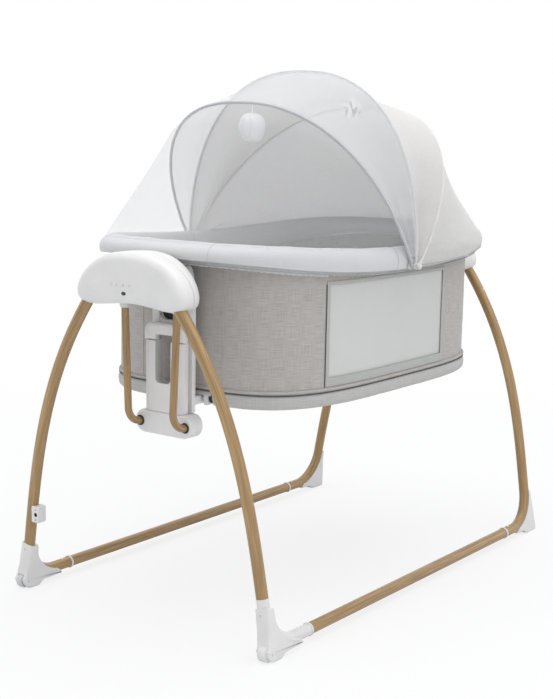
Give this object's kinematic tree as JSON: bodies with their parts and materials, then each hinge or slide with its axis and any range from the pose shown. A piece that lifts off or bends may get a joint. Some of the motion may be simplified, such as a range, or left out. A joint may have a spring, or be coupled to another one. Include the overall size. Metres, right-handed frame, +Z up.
{
  "type": "convertible crib cradle",
  "caption": "Rocking bassinet cradle on a bent-tube stand, with a lift-off fabric bassinet, padded rim, folding net hood and hanging toys.",
  "frame": {"origin": "on the floor, under the middle of the cradle", "axes": "+Z up, +Y along the cradle from the motor end to the plain hub, +X to the right as seen from the motor end"},
  "size_m": [0.635, 1.075, 1.0328],
  "materials": {
    "wood_look_tube": "wood-look coated steel tube",
    "white_plastic": "semi-gloss moulded white plastic",
    "warm_white_face": "satin warm grey-white plastic",
    "plated_steel": "zinc-plated steel",
    "black_plastic": "glossy black",
    "grey_roller": "hard grey roller plastic",
    "circuit_board": "green circuit board",
    "grey_linen": "grey-brown linen weave",
    "pale_rim_fabric": "pale grey padded cloth",
    "grey_hood_fabric": "light grey hood cloth",
    "white_net": "fine white net",
    "grey_binding": "cloth-bound rod",
    "white_quilt": "white quilted cotton",
    "white_plush": "short white plush"
  },
  "bodies": {
    "stand": {"front_leg_left": "wood_look_tube", "front_leg_right": "wood_look_tube", "rear_leg_left": "wood_look_tube", "rear_leg_right": "wood_look_tube", "floor_tube_left": "wood_look_tube", "floor_tube_right": "wood_look_tube", "front_foot_left": "white_plastic", "front_foot_right": "white_plastic", "rear_foot_left": "white_plastic", "rear_foot_right": "white_plastic", "roller_axle_left": "plated_steel", "roller_axle_right": "plated_steel", "motor_housing_cover": "warm_white_face", "motor_housing_back": "white_plastic", "rear_hub_cover": "warm_white_face", "rear_hub_back": "white_plastic", "sensor_window": "black_plastic", "front_bearing": "plated_steel", "rear_bearing": "plated_steel", "gearbox": "warm_white_face", "drive_motor": "plated_steel", "touch_board": "circuit_board", "inlet_box": "white_plastic", "inlet_socket": "black_plastic"},
    "roller_left": {"front_roller_left": "grey_roller"},
    "roller_right": {"front_roller_right": "grey_roller"},
    "swing": {"front_arm_left": "wood_look_tube", "front_arm_right": "wood_look_tube", "front_yoke": "plated_steel", "front_lower_bar": "white_plastic", "front_tower": "white_plastic", "rear_arm_left": "wood_look_tube", "rear_arm_right": "wood_look_tube", "rear_yoke": "plated_steel", "rear_lower_bar": "white_plastic", "rear_tower": "white_plastic"},
    "front_handle": {"front_release_handle": "white_plastic"},
    "rear_handle": {"rear_release_handle": "white_plastic"},
    "bassinet": {"rim_tube": "plated_steel", "base_tube": "plated_steel", "front_socket_plate": "white_plastic", "rear_socket_plate": "white_plastic", "wall_fabric": "grey_linen", "window_net_left": "white_net", "window_net_right": "white_net", "base_band": "pale_rim_fabric", "rim_pad": "pale_rim_fabric", "floor_board": "grey_linen", "mattress": "white_quilt", "hood_clip_left": "white_plastic", "hood_clip_right": "white_plastic", "hood_rear_panel": "grey_hood_fabric"},
    "hood_rear": {"rear_bow": "grey_binding", "hood_top_panel": "grey_hood_fabric"},
    "hood_middle": {"middle_bow": "grey_binding", "net_top_panel": "white_net"},
    "hood_front": {"front_bow": "grey_binding", "front_net": "white_net"},
    "toy_ball": {"toy_ball": "white_plush"},
    "toy_star": {"toy_star": "white_plush"}
  },
  "joints": [
    {"name": "roller_left_spin", "type": "hinge", "parent": "stand", "child": "roller_left", "pos_m": [-0.303, -0.5095, 0.0158], "axis": [1, 0, 0], "continuous": true},
    {"name": "roller_right_spin", "type": "hinge", "parent": "stand", "child": "roller_right", "pos_m": [0.303, -0.5095, 0.0158], "axis": [1, 0, 0], "continuous": true},
    {"name": "swing", "type": "hinge", "parent": "stand", "child": "swing", "pos_m": [0, 0, 0.6515], "axis": [0, 1, 0], "range_deg": [-10, 10]},
    {"name": "front_handle_pull", "type": "slide", "parent": "swing", "child": "front_handle", "axis": [0, 0, 1], "range_m": [0, 0.008], "stiffness_N_per_m": 250, "springref_m": -0.006},
    {"name": "rear_handle_pull", "type": "slide", "parent": "swing", "child": "rear_handle", "axis": [0, 0, 1], "range_m": [0, 0.008], "stiffness_N_per_m": 250, "springref_m": -0.006},
    {"name": "bassinet_lift", "type": "slide", "parent": "swing", "child": "bassinet", "axis": [0, 0, 1], "range_m": [0, 0.12]},
    {"name": "rear_bow_fold", "type": "hinge", "parent": "bassinet", "child": "hood_rear", "pos_m": [0, -0.02, 0.655], "axis": [-1, 0, 0], "range_deg": [0, 28], "deforming": ["hood_rear_panel"]},
    {"name": "middle_bow_fold", "type": "hinge", "parent": "hood_rear", "child": "hood_middle", "pos_m": [0, -0.02, 0.655], "axis": [-1, 0, 0], "range_deg": [0, 35], "deforming": ["hood_top_panel"]},
    {"name": "front_bow_fold", "type": "hinge", "parent": "hood_middle", "child": "hood_front", "pos_m": [0, -0.02, 0.655], "axis": [-1, 0, 0], "range_deg": [0, 32], "deforming": ["net_top_panel", "front_net"]},
    {"name": "toy_ball_swing", "type": "hinge", "parent": "hood_front", "child": "toy_ball", "pos_m": [0.031, -0.21769, 0.95807], "axis": [1, 0, 0], "range_deg": [-25, 40]},
    {"name": "toy_star_swing", "type": "hinge", "parent": "hood_middle", "child": "toy_star", "pos_m": [0.128, -0.01696, 0.99855], "axis": [1, 0, 0], "range_deg": [-40, 40]}
  ],
  "couplings": [
    {"joint": "middle_bow_fold", "follows": "rear_bow_fold", "ratio": 1.25},
    {"joint": "front_bow_fold", "follows": "rear_bow_fold", "ratio": 1.1429}
  ]
}
